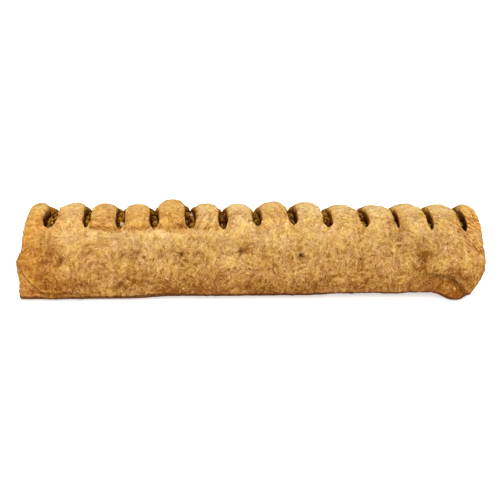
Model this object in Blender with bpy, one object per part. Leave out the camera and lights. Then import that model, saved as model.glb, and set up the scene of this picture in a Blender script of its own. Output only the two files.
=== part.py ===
"""Apple strudel: a long bar of baked pastry, slit across its top, around an apple filling.

Metres, +Z up. The bar lies along X with its front towards -Y, and its flat base is on Z = 0.
Two closed solids: "crust", a shell with slits through its roof, and "filling", which runs through it.
"""
import math

import bmesh
import bpy
from mathutils import Vector, noise

# Driving dimensions of the bar.
LENGTH = 0.298
DEPTH = 0.088
WAIST_Z = 0.018          # height where the sides stand out furthest
DOME_Z = 0.0475          # height of the dome that the strips of the roof rise from
TOP_POWER = 2.4          # superellipse power of the section above the waist
SETTLE = 0.0004          # how far the base is pressed flat

# Stations (x, value) along the bar.
# Power of the section below the waist, then how far the base spreads.
LOW_POWERS = [(-0.150, 8.0), (-0.085, 7.0), (-0.045, 4.8), (0.035, 4.6),
              (0.060, 3.5), (0.119, 3.4), (0.131, 8.0), (0.141, 4.5)]
FLARES = [(-0.145, 0.0030), (-0.080, 0.0026), (-0.050, 0.0006), (0.030, 0.0002),
          (0.060, -0.0018), (0.116, -0.0018), (0.128, 0.0030),
          (0.133, 0.0026), (0.141, -0.0012)]
FLARE_HEIGHT = 0.012

# The shell and the space inside it.
WALL_TOP = 0.0055
WALL_SIDE = 0.0055
WALL_BASE = 0.0040
WALL_END = 0.0100
FILLING_GAP = 0.0005

# Slits across the roof, and the strips of pastry that they leave.
SLIT_PITCH = 0.0222
FIRST_SLIT_X = -0.1281
SLIT_SLANTS = [0.0012, 0.0027, 0.0030, 0.0036, 0.0028, 0.0022, 0.0028,
               0.0026, 0.0026, 0.0026, 0.0026, 0.0020, 0.0020]   # how far a slit drifts towards -X going back
SLIT_LEANS = [0.9, 0.9, -0.2, -0.2, 0.0, -0.2, 3.0,
              5.0, 2.2, 1.5, 0.3, -0.9, -3.5]   # degrees that a slit's front end lies higher
LEAN_REACH_FRONT, LEAN_REACH_BACK = 31.0, 39.0   # degrees over which that fades out
SLIT_OFFSETS = [-0.0009, 0.0009, 0.0003, 0.0002, 0.0012, 0.0, -0.0002,
                0.0007, 0.0010, 0.0026, 0.0011, 0.0, -0.0012]
SLIT_WIDTHS = [0.0082, 0.0046, 0.0058, 0.0062, 0.0072, 0.0056, 0.0058,
               0.0060, 0.0060, 0.0054, 0.0024, 0.0038, 0.0044]
STRIP_RISES = [0.0, 0.0004, -0.0006, 0.0, 0.0024, 0.0, 0.0002,
               0.0011, 0.0004, -0.0012, -0.0014, -0.0007, -0.0008, -0.0012]
STRIP_SWELL = 0.0032     # how far the middle of a strip stands over the dome
STRIP_DROP = 0.0023      # how far its edges lie under the dome, where the slits are deepest
DROP_START, DROP_FULL = 167.0, 202.0    # angles between which the edges sink that far
STRIP_FADES = [14.0, 13.0, 7.0, 7.0, 9.0, 13.0, 13.0,
               14.0, 14.0, 14.0, 14.0, 14.0, 14.0, 14.0]   # degrees over which it fades into the sides
STRIP_ROUNDS = [2.1, 2.1, 2.2, 2.3, 2.5, 2.3, 2.1,
                2.2, 2.2, 2.1, 2.3, 2.1, 2.2, 2.1]   # power of its rounding: 2 is an ellipse
FRONT_SQUARENESS = 6.0   # how much higher that power is at the front
ROUND_START, ROUND_FULL = 172.0, 203.0   # angles between which that fades out
JOINED_BELOW, PARTED_ABOVE = 130.0, 148.0   # angles between which neighbouring strips part
BACK_FADE_START = 8.0    # degrees before the back ends of the slits where the strips start to fade
END_STRIP_ACROSS = 0.55  # how far across its rounding an end strip meets the end of the bar
SLIT_TAPER_FRONT, SLIT_TAPER_BACK = 0.13, 0.12   # shares of a slit's length over which it narrows
TIP_HALF_GAP = 0.00035   # half the width of a slit at its ends
SEAM_HALF_GAP = 0.0020   # half the distance between the columns beyond a slit's end
SEAM_SHARE = 0.3         # share of a slit's length over which the columns part that far

# Columns of points over each strip, as shares of its width.
OUTER_SHARES = [0.0, 0.05, 0.22, 0.5, 0.78, 0.95, 1.0]
INNER_SHARES = [0.0, 1.0]

# Section angles, from straight down through the front, the top and the back.
BASE_ANGLES = [-50.0, -20.0, 20.0, 50.0]
CORNER_ANGLE = 64.7
SLIT_FRONT_ANGLE = 132.0
SLIT_BACK_ANGLE = 229.0
SLIT_ROWS = 16
FRONT_ROWS = 12
BACK_ROWS = 7
INNER_FRONT_ROWS = 4
INNER_BACK_ROWS = 3

# Ends: rounded over at the top and the base, and pinched out in a lip between. Keys are -1 and 1.
ROUND_TOP = {-1: 0.0055, 1: 0.0038}
ROUND_LOW = {-1: 0.0035, 1: 0.0090}
ROUND_HEIGHT = 0.030     # height at which the low rounding has turned into the top one
END_CENTRE_Z = 0.022
LIP_Z = {-1: 0.0240, 1: 0.0200}
LIP_HEIGHT = 0.010
LIP_FOOT = 0.019         # how far under the lip the end has drawn back fully
LIP_ABOVE = {-1: 0.0048, 1: 0.0004}   # how far the end draws back over the lip
LIP_BELOW = {-1: 0.0024, 1: 0.0098}   # and under it
END_DOME = 0.0012
ROUND_STEPS = 3
FACE_STEPS = [0.66, 0.33]

# Docking holes pricked along the front.
DOCK_PITCH = 0.0378
FIRST_DOCK_X = -0.1190
DOCK_HEIGHTS = [0.0281, 0.0304, 0.0311, 0.0330, 0.0306, 0.0279, 0.0285]
DOCK_DEPTH = 0.0020

# Folds in the dough at the ends of the front.
FLAP_X, FLAP_Z, FLAP_RUN, FLAP_RISE = -0.129, 0.006, 0.0185, 0.019   # where its edge starts, and how it climbs
FLAP_POWER, FLAP_STEP, FLAP_SOFTNESS = 1.9, 0.0013, 0.0015
TUCK_X, TUCK_Z, TUCK_RUN, TUCK_RISE = 0.112, 0.002, 0.0245, 0.0160   # centre and half axes of its arc
TUCK_STEP, TUCK_WIDTH = 0.0012, 0.16
TUCK_SWELL, TUCK_SWELL_AT, TUCK_SWELL_WIDTH = 0.0008, 0.72, 0.24

# Relief: broad lumps and finer blisters of the baked dough.
LUMP_SIZE, LUMP_HEIGHT = 0.024, 0.0009
BLISTER_SIZE, BLISTER_HEIGHT = 0.008, 0.0006
FLAT_HEIGHT = 0.004      # relief fades out under this height, so that the base stays flat

# Filling that swells into the slits, in lumps of apple and raisin.
CHUNK_SIZE = 0.0065
CHUNK_HEIGHT = 0.0028
CHUNK_LOWEST, CHUNK_MEAN, CHUNK_SWING = 0.1, 0.6, 1.1   # shares of that height
CHUNK_FRONT, CHUNK_BACK = 0.15, 0.88     # shares of a slit's length where the lumps rise and sink
CHUNK_COLUMNS = [-1.0, -0.5, 0.0, 0.5, 1.0]
WALL_CLEARANCE = 0.0004  # between the lumps and the walls of a slit
LEAST_ROOM = 0.0002

SHARP_ANGLE = 50
SLIT_COUNT = len(SLIT_WIDTHS)
STRIP_COUNT = SLIT_COUNT + 1
HALF = LENGTH / 2


def clear_scene():
    for item in list(bpy.data.objects):
        bpy.data.objects.remove(item, do_unlink=True)


def smooth(low, high, value):
    """0 below low, 1 above high, and a smooth ramp between."""
    t = min(1.0, max(0.0, (value - low) / (high - low)))
    return t * t * (3 - 2 * t)


def along(stations, x):
    """Value at x between stations (x, value), with smooth ramps between them."""
    for (start, before), (stop, after) in zip(stations, stations[1:]):
        if x <= stop:
            return before + (after - before) * smooth(start, stop, x)
    return stations[-1][1]


def spread(start, stop, steps):
    """steps values from start, evenly spaced, stopping short of stop."""
    return [start + (stop - start) * i / steps for i in range(steps)]


def section(angle, half_depth, floor, top, low_power):
    """Point (y, z) of a loaf section in the direction angle from the middle of its waist."""
    side, rise = -math.sin(math.radians(angle)), -math.cos(math.radians(angle))
    if rise > 0:
        power, reach = TOP_POWER, top - WAIST_Z
    else:
        power, reach = low_power, WAIST_Z - floor
    radius = ((abs(side) / half_depth) ** power + (abs(rise) / reach) ** power) ** (-1 / power)
    return radius * side, WAIST_Z + radius * rise


def outer_section(x, angle):
    """Plain outline of the crust at x, with its base pressed flat."""
    y, z = section(angle, DEPTH / 2, 0.0, DOME_Z, along(LOW_POWERS, x))
    spread_out = along(FLARES, x) * (1 - smooth(0.0, FLARE_HEIGHT, z))
    return y * (1 + 2 * spread_out / DEPTH), max(0.0, z - SETTLE)


def inner_section(angle, gap):
    """Outline of the space inside, or of the filling where gap is the clearance between them."""
    return section(angle, DEPTH / 2 - WALL_SIDE - gap, WALL_BASE + gap, DOME_Z - WALL_TOP - gap, 4.0)


def slit_share(angle):
    """0 at a slit's front end, 1 at its back end."""
    return (angle - SLIT_FRONT_ANGLE) / (SLIT_BACK_ANGLE - SLIT_FRONT_ANGLE)


def slit_x(slit, angle):
    """Middle line of a slit, which slants across the roof."""
    share = min(1.0, max(0.0, slit_share(angle % 360.0)))
    return FIRST_SLIT_X + SLIT_PITCH * slit + SLIT_OFFSETS[slit] - SLIT_SLANTS[slit] * share


def leaned(angle, place):
    """The angle shifted so that each slit's front end has its own height. place counts slits from 0."""
    place = min(SLIT_COUNT - 1.0, max(0.0, place))
    left = min(SLIT_COUNT - 2, int(place))
    lean = SLIT_LEANS[left] + (SLIT_LEANS[left + 1] - SLIT_LEANS[left]) * (place - left)
    rising = smooth(SLIT_FRONT_ANGLE - LEAN_REACH_FRONT, SLIT_FRONT_ANGLE, angle)
    return angle + lean * rising * (1 - smooth(SLIT_FRONT_ANGLE, SLIT_FRONT_ANGLE + LEAN_REACH_BACK, angle))


def taper(share):
    """Rounds the end of a slit: 0 at its tip, 1 where it is fully open."""
    return math.sqrt(max(0.0, 1.0 - (1.0 - min(1.0, share)) ** 2))


def half_gap(slit, angle):
    """Half the distance between the two columns of points along a slit."""
    share = slit_share(angle % 360.0)
    if 0.0 <= share <= 1.0:
        narrowing = taper(share / SLIT_TAPER_FRONT) * taper((1 - share) / SLIT_TAPER_BACK)
        return max(TIP_HALF_GAP, 0.5 * SLIT_WIDTHS[slit] * narrowing)
    beyond = -share if share < 0 else share - 1.0
    return TIP_HALF_GAP + (SEAM_HALF_GAP - TIP_HALF_GAP) * smooth(0.0, SEAM_SHARE, beyond)


def strip_window(strip, angle):
    """1 over the roof, fading to 0 down the front and the back."""
    fade = STRIP_FADES[strip]
    front = smooth(SLIT_FRONT_ANGLE - fade, SLIT_FRONT_ANGLE + fade, angle)
    back = smooth(SLIT_BACK_ANGLE - BACK_FADE_START, SLIT_BACK_ANGLE + fade, angle)
    return front * (1.0 - back)


def strip_height(strip, across, angle):
    """Height of a strip over the dome. across is -1 and 1 at its edges."""
    angle = angle % 360.0
    drop = STRIP_DROP * smooth(DROP_START, DROP_FULL, angle)
    power = STRIP_ROUNDS[strip] + FRONT_SQUARENESS * (1 - smooth(ROUND_START, ROUND_FULL, angle))
    arch = (1.0 - min(1.0, abs(across)) ** power) ** (1.0 / power)
    joined = 1 - smooth(JOINED_BELOW, PARTED_ABOVE, angle)
    swell = STRIP_SWELL * (arch + (1 - arch) * joined)
    rise = STRIP_RISES[strip] * (arch + (1 - abs(across) ** 3 - arch) * joined)
    return (swell + rise + drop * arch - drop) * strip_window(strip, angle)


def fold_height(x, y, z):
    """Relief of the two folds at the ends of the front: the left flap's edge, and the right tuck."""
    if y > 0:
        return 0.0
    height = 0.0
    run = (FLAP_X - x) / FLAP_RUN
    if run > 0:
        edge_z = FLAP_Z + FLAP_RISE * run ** FLAP_POWER
        height -= FLAP_STEP * (1 - smooth(edge_z - FLAP_SOFTNESS, edge_z + FLAP_SOFTNESS, z))
    if x > TUCK_X:
        reach = math.hypot((x - TUCK_X) / TUCK_RUN, (z - TUCK_Z) / TUCK_RISE)
        height -= TUCK_STEP * math.exp(-((reach - 1.0) / TUCK_WIDTH) ** 2)
        height += TUCK_SWELL * math.exp(-((reach - TUCK_SWELL_AT) / TUCK_SWELL_WIDTH) ** 2)
    return height


def relief(x, y, z):
    """Height of the dough's own unevenness at a point of the surface."""
    place = Vector((x, y, z))
    lumps = LUMP_HEIGHT * noise.noise(place / LUMP_SIZE)
    blisters = BLISTER_HEIGHT * noise.noise(place / BLISTER_SIZE + Vector((7.0, 3.0, 1.0)))
    return (lumps + blisters + fold_height(x, y, z)) * smooth(0.0, FLAT_HEIGHT, z)


def outer_point(x, angle, strip, across):
    """Point of the crust's skin along the body of the bar."""
    y, z = outer_section(x, angle)
    ahead, behind = outer_section(x, angle + 0.5), outer_section(x, angle - 0.5)
    normal = Vector((0.0, ahead[1] - behind[1], behind[0] - ahead[0])).normalized()
    if z <= 0.0:
        return Vector((x, y, 0.0))
    height = relief(x, y, z) + strip_height(strip, across, angle)
    return Vector((x, y, z)) - normal * height


def end_radius(side, z):
    """How far an end is rounded over, at a height on its outline."""
    return ROUND_LOW[side] + (ROUND_TOP[side] - ROUND_LOW[side]) * smooth(0.0, ROUND_HEIGHT, z)


def end_point(side, angle, turn, share):
    """Point of an end: turn goes 0 to 1 round its edge, then share goes 1 to 0 to its middle."""
    strip = 0 if side < 0 else STRIP_COUNT - 1
    angle = leaned(angle, strip)
    radius = end_radius(side, outer_section(side * HALF, angle)[1])
    rim = outer_point(side * (HALF - radius), angle, strip, END_STRIP_ACROSS)
    centre = Vector((rim.x, 0.0, END_CENTRE_Z))
    inset = radius * (1 - math.cos(turn * math.pi / 2))
    place = centre + (rim - centre) * (1 - inset / (rim - centre).length) * share
    above = LIP_ABOVE[side] * smooth(LIP_Z[side], LIP_Z[side] + LIP_HEIGHT, place.z)
    below = LIP_BELOW[side] * (1 - smooth(LIP_Z[side] - LIP_FOOT, LIP_Z[side], place.z))
    out = radius * math.sin(turn * math.pi / 2) - (above + below) * turn + END_DOME * (1 - share)
    place.x += side * (out + relief(place.x + side * out, place.y, place.z) * turn)
    return place


def row_angles(front_rows, back_rows):
    """Section angles of one ring of points, and the range of its rows that the slits cross."""
    front = spread(CORNER_ANGLE, SLIT_FRONT_ANGLE, front_rows)
    roof = spread(SLIT_FRONT_ANGLE, SLIT_BACK_ANGLE, SLIT_ROWS)
    back = spread(SLIT_BACK_ANGLE, 360.0 - CORNER_ANGLE, back_rows) + [360.0 - CORNER_ANGLE]
    first = len(BASE_ANGLES) + len(front)
    return BASE_ANGLES + front + roof + back, range(first, first + SLIT_ROWS + 1)


def strip_edges(strip, angle):
    """X of a strip's two edges. The strips at the ends of the bar run on to where the ends begin."""
    left = end_radius(-1, outer_section(-HALF, leaned(angle, 0))[1]) - HALF
    right = HALF - end_radius(1, outer_section(HALF, leaned(angle, SLIT_COUNT))[1])
    if strip > 0:
        left = slit_x(strip - 1, angle) + half_gap(strip - 1, angle)
    if strip < STRIP_COUNT - 1:
        right = slit_x(strip, angle) - half_gap(strip, angle)
    return left, right


def columns(shares):
    """(strip, share) of every column of points, from -X to +X."""
    return [(strip, share) for strip in range(STRIP_COUNT) for share in shares]


def ring(mesh, points):
    return [mesh.verts.new(p) for p in points]


def join_rings(mesh, rings, skipped):
    """Faces between neighbouring rings, which skipped(column, row) may leave open."""
    count = len(rings[0])
    for column in range(len(rings) - 1):
        for row in range(count):
            if skipped(column, row):
                continue
            after = (row + 1) % count
            mesh.faces.new((rings[column][row], rings[column][after],
                            rings[column + 1][after], rings[column + 1][row]))


def close_ring(mesh, points, centre):
    """A fan from a ring of points to one point, which ends a skin."""
    tip = mesh.verts.new(centre)
    for i, point in enumerate(points):
        mesh.faces.new((point, points[(i + 1) % len(points)], tip))


def across_of(strip, share):
    """Place across a strip, -1 to 1. At the ends of the bar a strip is rounded on one side only."""
    if strip == 0:
        return share - END_STRIP_ACROSS * (1 - share)
    if strip == STRIP_COUNT - 1:
        return END_STRIP_ACROSS * share - (1 - share)
    return 2 * share - 1


def outer_skin(mesh, angles):
    """Rings of the crust's skin, end to end."""
    rings = []
    for turn in range(ROUND_STEPS, 0, -1):
        rings.append(ring(mesh, [end_point(-1, a, turn / ROUND_STEPS, 1.0) for a in angles]))
    for share in FACE_STEPS:
        rings.insert(0, ring(mesh, [end_point(-1, a, 1.0, share) for a in angles]))
    for strip, share in columns(OUTER_SHARES):
        points = []
        for angle in angles:
            left, right = strip_edges(strip, angle)
            x = left + (right - left) * share
            points.append(outer_point(x, leaned(angle, strip - 1 + share), strip, across_of(strip, share)))
        rings.append(ring(mesh, points))
    for turn in range(1, ROUND_STEPS + 1):
        rings.append(ring(mesh, [end_point(1, a, turn / ROUND_STEPS, 1.0) for a in angles]))
    for share in FACE_STEPS:
        rings.append(ring(mesh, [end_point(1, a, 1.0, share) for a in angles]))
    return rings


def inner_skin(mesh, angles):
    """Rings of the skin of the space inside."""
    rings = []
    for strip, share in columns(INNER_SHARES):
        points = []
        for angle in angles:
            y, z = inner_section(leaned(angle, strip - 1 + share), 0.0)
            left, right = strip_edges(strip, angle)
            if strip == 0:
                left = WALL_END - HALF
            if strip == STRIP_COUNT - 1:
                right = HALF - WALL_END
            points.append(Vector((left + (right - left) * share, y, z)))
        rings.append(ring(mesh, points))
    return rings


def slit_loop(rings, slit, per_strip, offset, rows):
    """The points round a slit: back along its left edge, then forward along its right edge."""
    left = rings[offset + per_strip * (slit + 1) - 1]
    right = rings[offset + per_strip * (slit + 1)]
    return [left[r] for r in rows] + [right[r] for r in reversed(rows)]


def prick_docks(rings, front):
    """Pulls the point nearest to each docking hole to the hole's bottom."""
    for dock, height in enumerate(DOCK_HEIGHTS):
        x = FIRST_DOCK_X + DOCK_PITCH * dock
        y, z = min((outer_section(x, a) for a in front), key=lambda p: abs(p[1] - height))
        mouth = Vector((x, y, z))
        nearest = min((p for r in rings for p in r), key=lambda p: (p.co - mouth).length)
        nearest.co.x = mouth.x
        nearest.co.y += DOCK_DEPTH


def make_crust():
    mesh = bmesh.new()
    outer_angles, outer_roof = row_angles(FRONT_ROWS, BACK_ROWS)
    inner_angles, inner_roof = row_angles(INNER_FRONT_ROWS, INNER_BACK_ROWS)
    outer = outer_skin(mesh, outer_angles)
    inner = inner_skin(mesh, inner_angles)
    caps = ROUND_STEPS + len(FACE_STEPS)
    outer_slits = {caps + len(OUTER_SHARES) * (s + 1) - 1 for s in range(SLIT_COUNT)}
    inner_slits = {len(INNER_SHARES) * (s + 1) - 1 for s in range(SLIT_COUNT)}
    join_rings(mesh, outer, lambda c, r: c in outer_slits and r in outer_roof[:-1])
    join_rings(mesh, inner, lambda c, r: c in inner_slits and r in inner_roof[:-1])
    close_ring(mesh, outer[0], (-HALF - END_DOME, 0.0, END_CENTRE_Z))
    close_ring(mesh, outer[-1], (HALF + END_DOME, 0.0, END_CENTRE_Z))
    close_ring(mesh, inner[0], (WALL_END - HALF, 0.0, END_CENTRE_Z))
    close_ring(mesh, inner[-1], (HALF - WALL_END, 0.0, END_CENTRE_Z))
    for slit in range(SLIT_COUNT):
        top = slit_loop(outer, slit, len(OUTER_SHARES), caps, outer_roof)
        bottom = slit_loop(inner, slit, len(INNER_SHARES), 0, inner_roof)
        for i, point in enumerate(top):
            j = (i + 1) % len(top)
            mesh.faces.new((point, top[j], bottom[j], bottom[i]))
    prick_docks(outer, outer_angles[len(BASE_ANGLES):outer_roof[0]])
    return mesh


def chunk_height(x, y, slit, share):
    """How far the filling's lumps rise into a slit. share runs 0 to 1 from its front end to its back end."""
    bump = noise.noise(Vector((x, y, 0.0)) / CHUNK_SIZE + Vector((3.0, 9.0, slit)))
    lump = max(CHUNK_LOWEST, CHUNK_MEAN + CHUNK_SWING * bump)
    front, back = smooth(0.0, CHUNK_FRONT, share), 1 - smooth(CHUNK_BACK, 1.0, share)
    return CHUNK_HEIGHT * lump * front * back


def filling_end(x, angles, slit):
    """Plain ring of the filling at one of its ends, beside a slit."""
    sections = [inner_section(leaned(angle, slit), FILLING_GAP) for angle in angles]
    return [Vector((x, y, z)) for y, z in sections]


def make_filling():
    mesh = bmesh.new()
    angles, roof = row_angles(INNER_FRONT_ROWS, INNER_BACK_ROWS)
    end = HALF - WALL_END - FILLING_GAP
    rings = [ring(mesh, filling_end(-end, angles, 0))]
    for slit in range(SLIT_COUNT):
        for offset in CHUNK_COLUMNS:
            points = []
            for row, angle in enumerate(angles):
                y, z = inner_section(leaned(angle, slit), FILLING_GAP)
                x = slit_x(slit, angle) + offset * max(LEAST_ROOM, half_gap(slit, angle) - WALL_CLEARANCE)
                if row in roof and abs(offset) < 1:
                    z += chunk_height(x, y, slit, slit_share(angle))
                points.append(Vector((x, y, z)))
            rings.append(ring(mesh, points))
    rings.append(ring(mesh, filling_end(end, angles, SLIT_COUNT - 1)))
    join_rings(mesh, rings, lambda c, r: False)
    close_ring(mesh, rings[0], (-end, 0.0, END_CENTRE_Z))
    close_ring(mesh, rings[-1], (end, 0.0, END_CENTRE_Z))
    return mesh


def make_material(name, colour, roughness):
    material = bpy.data.materials.new(name)
    material.use_nodes = True
    shader = material.node_tree.nodes["Principled BSDF"]
    shader.inputs["Base Color"].default_value = (*colour, 1.0)
    shader.inputs["Roughness"].default_value = roughness
    shader.inputs["Metallic"].default_value = 0.0
    return material


def make_object(name, mesh, material):
    bmesh.ops.recalc_face_normals(mesh, faces=mesh.faces)
    data = bpy.data.meshes.new(name)
    mesh.to_mesh(data)
    mesh.free()
    data.shade_smooth()
    data.set_sharp_from_angle(angle=math.radians(SHARP_ANGLE))
    data.materials.append(material)
    made = bpy.data.objects.new(name, data)
    bpy.context.scene.collection.objects.link(made)
    return made


def centre_on_origin(crust, others):
    """Moves the bar so that its box is centred over the origin, on Z = 0."""
    points = [v.co for v in crust.data.vertices]
    middle_x = (min(p.x for p in points) + max(p.x for p in points)) / 2
    middle_y = (min(p.y for p in points) + max(p.y for p in points)) / 2
    for item in [crust, *others]:
        for vertex in item.data.vertices:
            vertex.co.x -= middle_x
            vertex.co.y -= middle_y


clear_scene()
pastry = make_material("pastry", (0.56, 0.30, 0.09), 0.62)
apple_filling = make_material("apple_filling", (0.13, 0.055, 0.01), 0.25)
crust_object = make_object("crust", make_crust(), pastry)
filling_object = make_object("filling", make_filling(), apple_filling)
centre_on_origin(crust_object, [filling_object])
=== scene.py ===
import math
import random

import bpy
import bmesh
from mathutils import Matrix, Vector, noise


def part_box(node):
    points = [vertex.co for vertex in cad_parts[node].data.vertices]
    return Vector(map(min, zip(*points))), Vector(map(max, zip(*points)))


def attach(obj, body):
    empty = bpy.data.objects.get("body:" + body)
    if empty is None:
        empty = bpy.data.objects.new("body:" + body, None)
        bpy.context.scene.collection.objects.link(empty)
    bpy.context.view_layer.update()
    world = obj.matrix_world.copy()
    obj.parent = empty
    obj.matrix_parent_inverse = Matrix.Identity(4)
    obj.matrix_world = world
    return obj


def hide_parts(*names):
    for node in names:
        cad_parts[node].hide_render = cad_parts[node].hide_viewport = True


RELIEF_SEED = 7
noise.seed_set(RELIEF_SEED)

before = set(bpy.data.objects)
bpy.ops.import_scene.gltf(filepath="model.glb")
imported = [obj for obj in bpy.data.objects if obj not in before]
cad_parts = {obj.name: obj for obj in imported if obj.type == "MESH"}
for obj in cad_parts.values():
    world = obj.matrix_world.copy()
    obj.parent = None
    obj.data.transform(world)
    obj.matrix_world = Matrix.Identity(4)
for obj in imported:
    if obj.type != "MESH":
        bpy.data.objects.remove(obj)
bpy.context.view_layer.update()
crust_low, crust_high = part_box("crust")
print("bar", [round(1000 * (high - low), 1) for low, high in zip(crust_low, crust_high)], "mm")

# %% [markdown]
# ## The bar's own sizes
#
# The section of the bar is a loaf: flat below, domed above. A superellipse gives such a section
# with few numbers, because its power says how square its corners are. The roof is cut by slits,
# each with its own width and place, since no two come out alike. Lengths are in metres and angles
# in degrees, from 0 below, past the front, to 180 above.
# %% Small helpers
def smooth(low, high, value):
    """0 below low, 1 above high, and a smooth ramp between."""
    t = min(1.0, max(0.0, (value - low) / (high - low)))
    return t * t * (3 - 2 * t)


def along(stations, x):
    """Value at x between stations (x, value), with smooth ramps between them."""
    for (start, before), (stop, after) in zip(stations, stations[1:]):
        if x <= stop:
            return before + (after - before) * smooth(start, stop, x)
    return stations[-1][1]


def bump_at(distance, width):
    """1 at distance 0, fading like a soft spot of this width."""
    return math.exp(-(distance / width) ** 2)


print("a soft spot is down to", round(bump_at(1.0, 1.0), 2), "one width away")


# %% The section of the bar
LENGTH, DEPTH = 0.298, 0.088
HALF = LENGTH / 2
WAIST_Z, DOME_Z, TOP_POWER = 0.018, 0.0475, 2.4
LOW_POWERS = [(-0.150, 8.0), (-0.085, 7.0), (-0.045, 4.8), (0.035, 4.6),
              (0.060, 3.5), (0.119, 3.4), (0.131, 8.0), (0.141, 4.5)]
FLARES = [(-0.145, 0.0030), (-0.080, 0.0026), (-0.050, 0.0006), (0.030, 0.0002),
          (0.060, -0.0018), (0.116, -0.0018), (0.128, 0.0030),
          (0.133, 0.0026), (0.141, -0.0012)]
FLARE_HEIGHT, SETTLE, CORNER_ANGLE = 0.012, 0.0004, 64.7


def section(angle, half_depth, floor, top, low_power):
    """Point (y, z) of a loaf section, in a direction from the middle of its waist."""
    side, rise = -math.sin(math.radians(angle)), -math.cos(math.radians(angle))
    if rise > 0:
        power, reach = TOP_POWER, top - WAIST_Z
    else:
        power, reach = low_power, WAIST_Z - floor
    radius = ((abs(side) / half_depth) ** power + (abs(rise) / reach) ** power) ** (-1 / power)
    return radius * side, WAIST_Z + radius * rise


def outer_section(x, angle):
    """Plain outline of the crust at x, pressed flat below and spread a little in places."""
    y, z = section(angle, DEPTH / 2, 0.0, DOME_Z, along(LOW_POWERS, x))
    spread_out = along(FLARES, x) * (1 - smooth(0.0, FLARE_HEIGHT, z))
    return y * (1 + 2 * spread_out / DEPTH), max(0.0, z - SETTLE)


print("front of the base at y =", round(1000 * outer_section(0.0, CORNER_ANGLE)[0], 1), "mm")


# %% The slits
SLIT_PITCH, FIRST_SLIT_X = 0.0222, -0.1281
SLIT_SLANTS = [0.0012, 0.0027, 0.0030, 0.0036, 0.0028, 0.0022, 0.0028,
               0.0026, 0.0026, 0.0026, 0.0026, 0.0020, 0.0020]
SLIT_LEANS = [0.9, 0.9, -0.2, -0.2, 0.0, -0.2, 3.0, 5.0, 2.2, 1.5, 0.3, -0.9, -3.5]
SLIT_OFFSETS = [-0.0009, 0.0009, 0.0003, 0.0002, 0.0012, 0.0, -0.0002,
                0.0007, 0.0010, 0.0026, 0.0011, 0.0, -0.0012]
SLIT_WIDTHS = [0.0082, 0.0046, 0.0058, 0.0062, 0.0072, 0.0056, 0.0058,
               0.0060, 0.0060, 0.0054, 0.0024, 0.0038, 0.0044]
SLIT_COUNT = len(SLIT_WIDTHS)
SLIT_TAPER_FRONT, SLIT_TAPER_BACK = 0.13, 0.12
TIP_HALF_GAP, SEAM_HALF_GAP = 0.00025, 0.0006
SLIT_FRONT_ANGLE, SLIT_BACK_ANGLE = 132.0, 229.0
LEAN_BEFORE, LEAN_AFTER = 31.0, 39.0
RAGGED_WAVES = [(0.16, 3.1, 7.0, 0.5), (0.20, 5.3, 26.0, 2.5)]


def slit_share(angle):
    """0 at a slit's front end, 1 at its back end."""
    return (angle - SLIT_FRONT_ANGLE) / (SLIT_BACK_ANGLE - SLIT_FRONT_ANGLE)


def slit_angle(share):
    """The angle at such a share of a slit."""
    return SLIT_FRONT_ANGLE + share * (SLIT_BACK_ANGLE - SLIT_FRONT_ANGLE)


def slit_x(slit, angle):
    """Middle line of a slit, which slants a little across the roof."""
    share = min(1.0, max(0.0, slit_share(angle % 360.0)))
    return FIRST_SLIT_X + SLIT_PITCH * slit + SLIT_OFFSETS[slit] - SLIT_SLANTS[slit] * share


def leaned(angle, place):
    """The angle shifted so that each slit's front end has its own height. place counts slits from 0."""
    place = min(SLIT_COUNT - 1.0, max(0.0, place))
    left = min(SLIT_COUNT - 2, int(place))
    lean = SLIT_LEANS[left] + (SLIT_LEANS[left + 1] - SLIT_LEANS[left]) * (place - left)
    rising = smooth(SLIT_FRONT_ANGLE - LEAN_BEFORE, SLIT_FRONT_ANGLE, angle)
    return angle + lean * rising * (1 - smooth(SLIT_FRONT_ANGLE, SLIT_FRONT_ANGLE + LEAN_AFTER, angle))


def taper(share):
    """Rounds the end of a slit: 0 at its tip, 1 where it is fully open."""
    return math.sqrt(max(0.0, 1.0 - (1.0 - min(1.0, share)) ** 2))


def half_gap(slit, angle):
    """Half the distance between a slit's two edges."""
    share = slit_share(angle % 360.0)
    if 0.0 <= share <= 1.0:
        ragged = 1.0
        for size, apart, rate, start in RAGGED_WAVES:
            ragged += size * noise.noise(Vector((slit * apart, share * rate, start)))
        opening = 0.5 * SLIT_WIDTHS[slit] * ragged
        opening *= taper(share / SLIT_TAPER_FRONT) * taper((1 - share) / SLIT_TAPER_BACK)
        return max(TIP_HALF_GAP, opening)
    beyond = -share if share < 0 else share - 1.0
    return TIP_HALF_GAP + (SEAM_HALF_GAP - TIP_HALF_GAP) * smooth(0.0, 0.3, beyond)


print(SLIT_COUNT, "slits, the first", round(2000 * half_gap(0, 180.0), 1), "mm wide on the roof")


# %% The strips
STRIP_COUNT = SLIT_COUNT + 1
STRIP_RISES = [0.0, 0.0004, -0.0006, 0.0, 0.0024, 0.0, 0.0002,
               0.0011, 0.0004, -0.0012, -0.0014, -0.0007, -0.0008, -0.0012]
STRIP_ROUNDS = [2.1, 2.1, 2.2, 2.3, 2.5, 2.3, 2.1, 2.2, 2.2, 2.1, 2.3, 2.1, 2.2, 2.1]
FRONT_SQUARENESS, ROUND_START, ROUND_FULL = 6.0, 172.0, 203.0
JOINED_BELOW, PARTED_ABOVE = 130.0, 148.0
STRIP_SWELL, STRIP_DROP = 0.0032, 0.0023
DROP_START, DROP_FULL = 167.0, 202.0
STRIP_FADES = [14.0, 13.0, 7.0, 7.0, 9.0, 13.0, 13.0] + 7 * [14.0]
BACK_FADE_START = 8.0


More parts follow.
